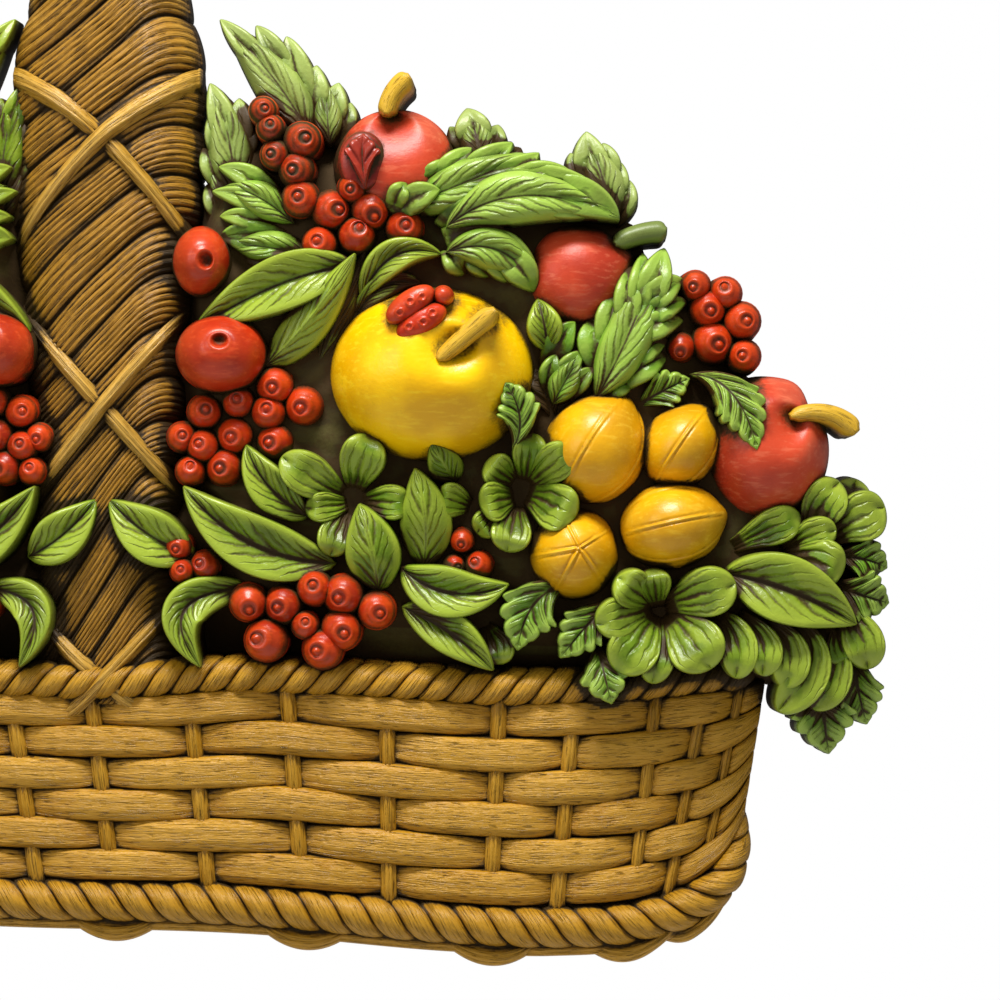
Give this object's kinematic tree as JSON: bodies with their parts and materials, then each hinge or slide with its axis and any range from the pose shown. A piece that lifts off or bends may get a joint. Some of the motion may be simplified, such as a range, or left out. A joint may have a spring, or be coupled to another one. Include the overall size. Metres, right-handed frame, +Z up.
{
  "type": "decorative wall plaque",
  "caption": "Flat-backed relief wall plaque: a wicker basket with an upright rope-wrapped handle, heaped with painted fruit, walnuts, berries and leaves.",
  "frame": {"origin": "on the flat back, on the handle's centre line, at the height of the basket's rim", "axes": "+Z up the handle, +X to the right as seen from the front, +Y into the wall, so the relief stands out towards -Y"},
  "size_m": [0.5677, 0.064, 0.4767],
  "materials": {
    "painted_moulding": "satin paint over moulded plastic with a dark brown wash in the hollows: ochre wicker, green leaves, red and golden fruit"
  },
  "bodies": {
    "root": {"plaque": "painted_moulding"}
  },
  "joints": []
}
